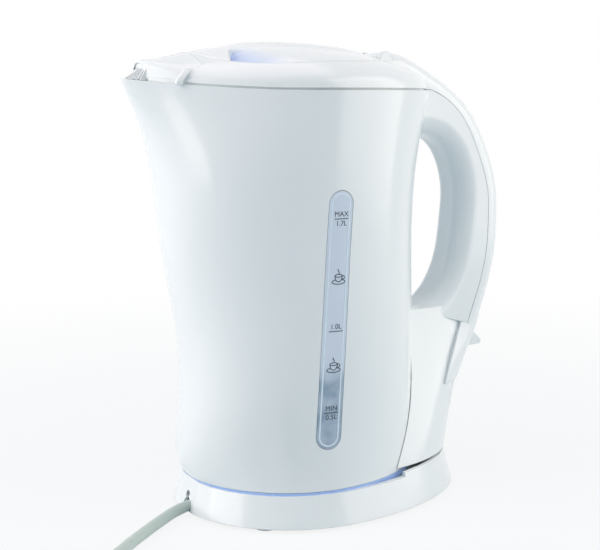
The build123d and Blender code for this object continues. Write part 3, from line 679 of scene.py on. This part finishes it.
def stroke(line, closed=False):
    """Pen stroke along a flat line: points and faces."""
    points = []
    count = len(line)
    for i, (x, z) in enumerate(line):
        ahead = line[(i + 1) % count] if closed else line[min(i + 1, count - 1)]
        behind = line[i - 1] if closed else line[max(i - 1, 0)]
        along = Vector((ahead[0] - behind[0], ahead[1] - behind[1])).normalized()
        across = Vector((-along.y, along.x)) * pen / 2
        points.append((x + across.x, z + across.y))
        points.append((x - across.x, z - across.y))
    faces = []
    for i in range(count if closed else count - 1):
        j = (i + 1) % count
        faces.append((2 * i, 2 * i + 1, 2 * j + 1, 2 * j))
    return points, faces


def cup_strokes():
    """Steaming cup on a saucer, about the origin."""
    steam = []
    for i in range(steam_points + 1):
        share = i / steam_points
        steam.append((steam_sway * sin(steam_bend * share), steam_foot + steam_rise * share))
    return [
        stroke(arc(cup_brim, cup_half, brim_half, 0, 345, 22), closed=True),
        stroke(arc(cup_brim, cup_half, bowl_depth, 180, 360, 18)),
        stroke(arc(saucer_middle, saucer_half_x, saucer_half_z, 112, 428, 26)),
        stroke(arc(cup_ear, ear_half_x, ear_half_z, -100, 90, 12)),
        stroke(steam),
    ]


def mark_shapes(what):
    """Flat shapes of one mark."""
    if what == "line":
        ends = [(line_half * (2 * i / line_points - 1), 0) for i in range(line_points + 1)]
        return [stroke(ends)]
    if what == "cup":
        return cup_strokes()
    return [flat_text(what, letter_size)]


def window_surface():
    """Search tree of the level window's faces."""
    window = nodes["level_window"]
    corners = [window.matrix_world @ v.co for v in window.data.vertices]
    return BVHTree.FromPolygons(corners, [tuple(f.vertices) for f in window.data.polygons])


def on_window(surface, x, z, sink):
    """Place on the window's outer face, sunk in a little."""
    hit, _, _, _ = surface.ray_cast(Vector((x, -1, z)), Vector((0, 1, 0)))
    return hit.x, hit.y + sink, hit.z


def make_marks():
    """All marks as one thin skin of ink on the window."""
    surface = window_surface()
    points = []
    faces = []
    for what, x, z in marks:
        for shape, sides in mark_shapes(what):
            first = len(points)
            points.extend(on_window(surface, x + px, z + pz, mark_sink) for px, pz in shape)
            faces.extend(tuple(first + corner for corner in side) for side in sides)
    mesh = bpy.data.meshes.new("scale_marks")
    mesh.from_pydata(points, [], faces)
    mesh.materials.append(ink)
    piece = bpy.data.objects.new("scale_marks", mesh)
    link(piece, "jug")
    thicken = piece.modifiers.new("thickness", "SOLIDIFY")
    thicken.thickness = mark_thickness
    thicken.offset = 1.0


def make_bead():
    """Raised line parallel to the edge of the window."""
    surface = window_surface()
    low, high = (Vector(end) for end in window_ends)
    tilt = (high - low).angle_signed(Vector((0, 1)))
    line = []
    for end, first in ((high, 0.0), (low, 180.0)):
        for i in range(bead_arc_points + 1):
            angle = radians(first + 180.0 * i / bead_arc_points) + tilt
            line.append((end.x + bead_reach * cos(angle), end.y + bead_reach * sin(angle)))
    route = []
    for i, (x, z) in enumerate(line):
        ahead = line[(i + 1) % len(line)]
        runs = bead_run_points if (i + 1) % (bead_arc_points + 1) == 0 else 1
        for j in range(runs):
            px = x + (ahead[0] - x) * j / runs
            pz = z + (ahead[1] - z) * j / runs
            route.append(on_window(surface, px, pz, bead_sink))
    bead = tube("window_bead", route, bead_r, closed=True)
    bead.data.materials.append(bead_skin)
    link(bead, "jug")


make_marks()
make_bead()


# Dome and lid
def foot_outline(inset):
    """Half of the dome's foot outline, from the spout round to the handle."""
    tip = foot_x - foot_front + inset
    back = foot_x + foot_rear - inset
    edge = foot_half - inset
    swell = foot_x + oval * (foot_rear - inset)
    front_half = ((tip, 0), (tip, foot_nose), (foot_x - foot_shoulder, edge), (foot_x, edge))
    rear_half = ((foot_x, edge), (swell, edge), (back, oval * edge), (back, 0))
    line = []
    for half in (front_half, rear_half):
        line.extend(bezier(half, i / outline_points) for i in range(outline_points))
    line.append(Vector((back, 0)))
    return line


def dome_shape(inset):
    """Height of the dome over any place, with its foot moved in."""
    spokes = []
    for point in reversed(foot_outline(inset)):
        away = point.x - crown_x
        spokes.append((atan2(point.y, away), hypot(away, point.y)))
    angles = [angle for angle, _ in spokes]

    def height(x, y):
        angle = atan2(abs(y), x - crown_x)
        i = min(max(bisect(angles, angle), 1), len(spokes) - 1)
        (low, near), (high, far) = spokes[i - 1 : i + 1]
        reach = near + (far - near) * (angle - low) / (high - low)
        share = hypot(x - crown_x, y) / reach
        return dome_foot + crown_rise * sqrt(max(0.0, 1 - share * share))

    return height


lid_dome = dome_shape(collar_inset)
hood_dome = dome_shape(hood_inset)


def lid_height(x, y):
    """Height of the lid's upper face, and how deep it is cut as a share."""
    away = hypot((x - ridge_x) / ridge_half_length, y / ridge_half_width)
    height = lid_dome(x, y) + ridge_rise * eased((1 - away) / ridge_soft)
    out = abs(y) - recess_inner
    front = recess_front + recess_front_slope * out
    end = recess_end + recess_end_slope * out
    if out <= 0 or not front < x < end:
        return height, 0.0
    cut = eased((x - front) / recess_wall) * (end - x) / (end - front) * eased(out / recess_soft)
    return height - recess_depth * cut, cut


def make_lid():
    """Lid with its hinge tongue, as two closed shells."""
    points = [(lid_x, 0, lid_height(lid_x, 0)[0])]
    cuts = [0.0]
    faces = []
    for ring in range(1, lid_rings + 1):
        share = ring / lid_rings
        for spoke in range(lid_spokes):
            angle = 2 * pi * spoke / lid_spokes
            x = lid_x + lid_half_length * share * cos(angle)
            y = lid_half_width * share * sin(angle)
            fall = max(0.0, (share - lid_edge_share) / (1 - lid_edge_share))
            height, cut = lid_height(x, y)
            points.append((x, y, height - lid_edge * fall * fall))
            cuts.append(cut)
    rim = [1 + (lid_rings - 1) * lid_spokes + spoke for spoke in range(lid_spokes)]
    foot = len(points)
    points.extend((points[i][0], points[i][1], lid_bottom) for i in rim)
    for spoke in range(lid_spokes):
        beside = (spoke + 1) % lid_spokes
        faces.append((0, 1 + spoke, 1 + beside))
        for ring in range(lid_rings - 1):
            inner = 1 + ring * lid_spokes
            outer = inner + lid_spokes
            faces.append((inner + spoke, outer + spoke, outer + beside, inner + beside))
        faces.append((rim[spoke], foot + spoke, foot + beside, rim[beside]))
    faces.append(tuple(foot + spoke for spoke in reversed(range(lid_spokes))))
    side = [(tongue_x, hinge_z - barrel_r)]
    side.extend(arc((hinge_x, hinge_z), barrel_r, barrel_r, -90, 180, barrel_points))
    side.append((tongue_x, hinge_z))
    faces.extend(closed_rows(len(points), 2, len(side)))
    for y in (-barrel_half, barrel_half):
        points.extend((x, y, z) for x, z in side)
    lid = solid_piece("lid_cap", points, faces, lid_shaded_skin)
    # the share of the cut at each point, stored for the painted bluish shade in the recesses
    shade = lid.data.attributes.new(recess_shade_mark, "FLOAT", "POINT")
    shade.data.foreach_set("value", cuts + [0.0] * (len(points) - len(cuts)))
    link(lid, "lid")
    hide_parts("lid_top")


make_lid()


# Rim, spout hood and comb
def rim_height(x):
    """Height of the jug's rim, which rises to the spout."""
    run = min(0.0, x - rim_start)
    return rim_low + rim_bend - sqrt(rim_bend * rim_bend - run * run)


def lining_line(inset):
    """Part of the foot outline that the lining follows."""
    return [point for point in foot_outline(inset) if lining_front < point.x < lining_rear]


def make_lining():
    """Upright white band on each side, just inside the rim."""
    outer = lining_line(lining_inset)
    inner = lining_line(lining_inset + lining_thickness)
    count = min(len(outer), len(inner))
    points = []
    faces = []
    for side in (-1, 1):
        faces.extend(closed_rows(len(points), count, 4))
        for a, b in zip(outer[-count:], inner[-count:]):
            for point, rise in ((a, -lining_down), (a, lining_up), (b, lining_up), (b, -lining_down)):
                points.append((point.x, side * point.y, rim_height(point.x) + rise))
    lining = solid_piece("rim_lining", points, faces, white)
    link(lining, "jug")


def hood_section(x):
    """Foot height, half width and crown height of the hood, with its share of the dome's shape."""
    foot = rim_height(x) + hood_rise + hood_gap
    low, high = 0.0, foot_half
    for _ in range(halvings):
        middle = (low + high) / 2
        if hood_dome(x, middle) > foot:
            low = middle
        else:
            high = middle
    run = (x - hood_front) / (hood_rear - hood_front)
    crown = hood_crown + (hood_dome(hood_rear, 0) + hood_rise - hood_crown) * run
    return foot, low, crown, eased(run)


def hood_point(x, angle, inset):
    """Point on the hood, at an angle round its section."""
    foot, half, crown, share = hood_section(x)
    y = (half - inset) * abs(cos(angle)) ** (2 / hood_squareness)
    arch = (crown - foot) * abs(sin(angle)) ** (2 / hood_squareness)
    dome = max(hood_dome(x, y + inset) + hood_rise - foot, 0.0)
    rise = max((1 - share) * arch + share * dome - inset * sin(angle), 0.0)
    return x, y if cos(angle) > 0 else -y, foot + rise


def make_hood():
    """Thin curved hood, closed all round."""
    points = []
    for inset in (0.0, hood_wall):
        for i in range(hood_sections + 1):
            x = hood_front + (hood_rear - hood_front) * i / hood_sections
            points.extend(hood_point(x, pi * j / hood_points, inset) for j in range(hood_points + 1))
    row = hood_points + 1
    layer = row * (hood_sections + 1)
    faces = []
    for i in range(hood_sections):
        for j in range(hood_points):
            a = i * row + j
            faces.append((a, a + 1, a + row + 1, a + row))
            faces.append((layer + a, layer + a + row, layer + a + row + 1, layer + a + 1))
    for i in (0, hood_sections):
        for j in range(hood_points):
            a = i * row + j
            faces.append((a, layer + a, layer + a + 1, a + 1))
    for j in (0, hood_points):
        for i in range(hood_sections):
            a = i * row + j
            faces.append((a, a + row, layer + a + row, layer + a))
    hood = solid_piece("spout_hood", points, faces, white)
    link(hood, "jug")


def make_comb():
    """Upright slats that the water pours between, sloping down to the lip."""
    foot, half, crown, _ = hood_section(comb_front)
    lip = foot_outline(comb_lip_inset)
    beak = foot_outline(comb_tip_inset)
    points = []
    faces = []
    for slat in range(-comb_slats, comb_slats + 1):
        y = slat * comb_pitch
        share = min(abs(y) / half, 1.0)
        arch = (1 - share**hood_squareness) ** (1 / hood_squareness)
        top = max(foot + (crown - foot) * arch - hood_wall / 2, comb_foot + hood_wall)
        inner = min(next(point.x for point in lip if point.y >= abs(y)), comb_front - slat_half)
        tip = min(next(point.x for point in beak if point.y >= abs(y)), inner - slat_half)
        side = (
            (comb_rear, comb_foot),
            (comb_rear, top),
            (comb_front, top),
            (comb_front, min(comb_step_top, top - slat_half)),
            (tip, rim_height(tip) + comb_tip_rise),
            (tip, rim_height(tip) + comb_lip_rise),
            (inner, rim_height(inner) + comb_lip_rise),
            (inner, comb_foot),
        )
        faces.extend(closed_rows(len(points), 2, len(side)))
        points.extend((x, y - slat_half, z) for x, z in side)
        points.extend((x, y + slat_half, z) for x, z in side)
    comb = solid_piece("spout_comb", points, faces, white)
    link(comb, "jug")


make_lining()
make_hood()
make_comb()


# Blue ring
def ring_outline(inset):
    """Closed outline of the jug's lower edge, moved in."""
    tip = ring_x - ring_front + inset
    back = ring_x + ring_rear - inset
    edge = ring_half - inset
    front_half = ((tip, 0), (tip, ring_nose), (ring_x - ring_shoulder, edge), (ring_x, edge))
    rear_half = ((ring_x, edge), (ring_x + oval * ring_rear, edge), (back, oval * edge), (back, 0))
    half = [bezier(front_half, i / ring_points) for i in range(ring_points)]
    half.extend(bezier(rear_half, i / ring_points) for i in range(ring_points + 1))
    return half + [Vector((point.x, -point.y)) for point in half[-2:0:-1]]


def make_gap_shade_ring():
    """Low closed band, coloured as painted blue shade."""
    outer = ring_outline(ring_inset)
    inner = ring_outline(ring_inset + ring_width)
    points = []
    for a, b in zip(outer, inner):
        for point, z in ((a, ring_bottom), (a, ring_top), (b, ring_top), (b, ring_bottom)):
            points.append((point.x, point.y, z))
    faces = []
    for i in range(len(outer)):
        here = 4 * i
        there = 4 * ((i + 1) % len(outer))
        for j in range(4):
            k = (j + 1) % 4
            faces.append((here + j, here + k, there + k, there + j))
    ring = solid_piece("gap_shade_ring", points, faces, gap_shade_blue)
    link(ring, "base")


make_gap_shade_ring()


# Blends and cheeks
def blend_lines():
    """Edge of the grip's foot and edge of the tail, from the side round to the switch."""
    grip = []
    tail = []
    centre = grip_half - grip_round
    last_angle = asin((blend_inner - centre) / grip_round)
    side = grip_corner_x - grip_side_x
    turn = grip_round * (pi / 2 - last_angle)
    for i in range(blend_points + 1):
        share = i / blend_points
        run = share * (side + turn)
        if run < side:
            grip.append(Vector((grip_side_x + run, grip_half)))
        else:
            angle = pi / 2 - (run - side) / grip_round
            x = grip_corner_x + grip_round * cos(angle)
            grip.append(Vector((x, centre + grip_round * sin(angle))))
        x = tail_first + share * (tail_last - tail_first)
        reach = (x - tail_middle) / tail_half_x
        tail.append(Vector((x, max(tail_half_y * sqrt(1 - reach * reach), blend_inner))))
    return grip, tail


def make_blends():
    """One closed piece on each side, with a root up in the grip."""
    grip, tail = blend_lines()
    root = [Vector((point.x + blend_lean, max(point.y - blend_sink, blend_inner))) for point in grip]
    rows = [(blend_top + blend_root, root)]
    for level in range(blend_levels + 1):
        share = level / blend_levels
        line = [a + (b - a) * share for a, b in zip(grip, tail)]
        rows.append((blend_top + (blend_low - blend_top) * share, line))
    for name, side in (("blend_near", -1), ("blend_far", 1)):
        points = []
        for z, line in rows:
            points.extend((point.x, side * point.y, z) for point in line)
            points.append((line[0].x, side * blend_inner, z))
        faces = closed_rows(0, len(rows), blend_points + 2)
        blend = solid_piece(name, points, faces, white)
        link(blend, "jug")


def make_cheeks():
    """One soft bar on each side."""
    for name, side in (("cheek_near", 1), ("cheek_far", -1)):
        cheek = tube(name, [(x, side * y, z) for x, y, z in cheek_route], cheek_r)
        for point, share in zip(cheek.data.splines[0].points, cheek_radii):
            point.radius = share
        cheek.data.materials.append(white)
        link(cheek, "jug")


make_blends()
make_cheeks()


# Floor, light and camera
def seen_rays(tree):
    """One for rays that show the surroundings: straight, mirrored or through clear plastic."""
    rays = tree.nodes.new("ShaderNodeLightPath")
    either = rays.outputs["Is Camera Ray"]
    for kind in ("Is Glossy Ray", "Is Transmission Ray"):
        larger = tree.nodes.new("ShaderNodeMath")
        larger.operation = "MAXIMUM"
        tree.links.new(either, larger.inputs[0])
        tree.links.new(rays.outputs[kind], larger.inputs[1])
        either = larger.outputs["Value"]
    return either


def make_floor():
    """Pale floor that keeps the kettle's shadow and turns into the backdrop further out."""
    mesh = bpy.data.meshes.new("floor")
    corners = [(x * floor_half, y * floor_half, 0) for x, y in ((-1, -1), (1, -1), (1, 1), (-1, 1))]
    mesh.from_pydata(corners, [], [(0, 1, 2, 3)])
    floor = bpy.data.objects.new("floor", mesh)
    bpy.context.scene.collection.objects.link(floor)
    material, tree, shader = new_material("floor_paper")
    shader.inputs["Roughness"].default_value = floor_roughness
    shader.inputs["Specular IOR Level"].default_value = floor_gloss
    drift = noise(tree, floor_drift_scale)
    tree.links.new(tint(tree, drift, floor_colour, floor_drift), shader.inputs["Base Color"])
    glow = add_node(tree, "ShaderNodeEmission", Color=(1, 1, 1, 1), Strength=1.0)
    place = tree.nodes.new("ShaderNodeNewGeometry")
    reach = tree.nodes.new("ShaderNodeVectorMath")
    reach.operation = "LENGTH"
    tree.links.new(place.outputs["Position"], reach.inputs[0])
    fade = tree.nodes.new("ShaderNodeMapRange")
    fade.interpolation_type = "SMOOTHSTEP"
    fade.inputs["From Min"].default_value = fade_near
    fade.inputs["From Max"].default_value = fade_far
    fade.inputs["To Min"].default_value = fade_low
    tree.links.new(reach.outputs["Value"], fade.inputs["Value"])
    seen = tree.nodes.new("ShaderNodeMath")
    seen.operation = "MULTIPLY"
    tree.links.new(seen_rays(tree), seen.inputs[0])
    tree.links.new(fade.outputs["Result"], seen.inputs[1])
    mix = tree.nodes.new("ShaderNodeMixShader")
    tree.links.new(seen.outputs["Value"], mix.inputs["Fac"])
    tree.links.new(shader.outputs["BSDF"], mix.inputs[1])
    tree.links.new(glow.outputs["Emission"], mix.inputs[2])
    tree.links.new(mix.outputs["Shader"], tree.nodes["Material Output"].inputs["Surface"])
    mesh.materials.append(material)


def make_world():
    """Cool fill light from all round, and white where it is seen or mirrored."""
    world = bpy.data.worlds.new("studio")
    bpy.context.scene.world = world
    world.use_nodes = True
    tree = world.node_tree
    fill = tree.nodes["Background"]
    fill.inputs["Color"].default_value = (*fill_colour, 1)
    fill.inputs["Strength"].default_value = fill_strength
    white_back = add_node(tree, "ShaderNodeBackground", Color=(1, 1, 1, 1), Strength=1.0)
    mix = tree.nodes.new("ShaderNodeMixShader")
    tree.links.new(seen_rays(tree), mix.inputs["Fac"])
    tree.links.new(fill.outputs["Background"], mix.inputs[1])
    tree.links.new(white_back.outputs["Background"], mix.inputs[2])
    tree.links.new(mix.outputs["Shader"], tree.nodes["World Output"].inputs["Surface"])


def softbox(name, place, aim, width, height, power, colour):
    """Large soft lamp that faces a point."""
    lamp = bpy.data.lights.new(name, "AREA")
    lamp.shape = "RECTANGLE"
    lamp.size = width
    lamp.size_y = height
    lamp.energy = power
    lamp.color = colour
    holder = bpy.data.objects.new(name, lamp)
    holder.location = place
    way = Vector(aim) - Vector(place)
    holder.rotation_euler = way.to_track_quat("-Z", "Y").to_euler()
    bpy.context.scene.collection.objects.link(holder)


def make_camera():
    """Camera at the photograph's place."""
    data = bpy.data.cameras.new("camera")
    data.sensor_width = film_width
    data.sensor_fit = "HORIZONTAL"
    data.lens = camera_lens
    data.clip_start = camera_near
    camera = bpy.data.objects.new("camera", data)
    camera.location = camera_place
    camera.rotation_euler = (radians(90 - camera_dip), 0, radians(camera_turn))
    bpy.context.scene.collection.objects.link(camera)
    bpy.context.scene.camera = camera


make_floor()
make_world()
for lamp_values in lamps:
    softbox(*lamp_values)
make_camera()
bpy.context.scene.view_settings.view_transform = "Standard"
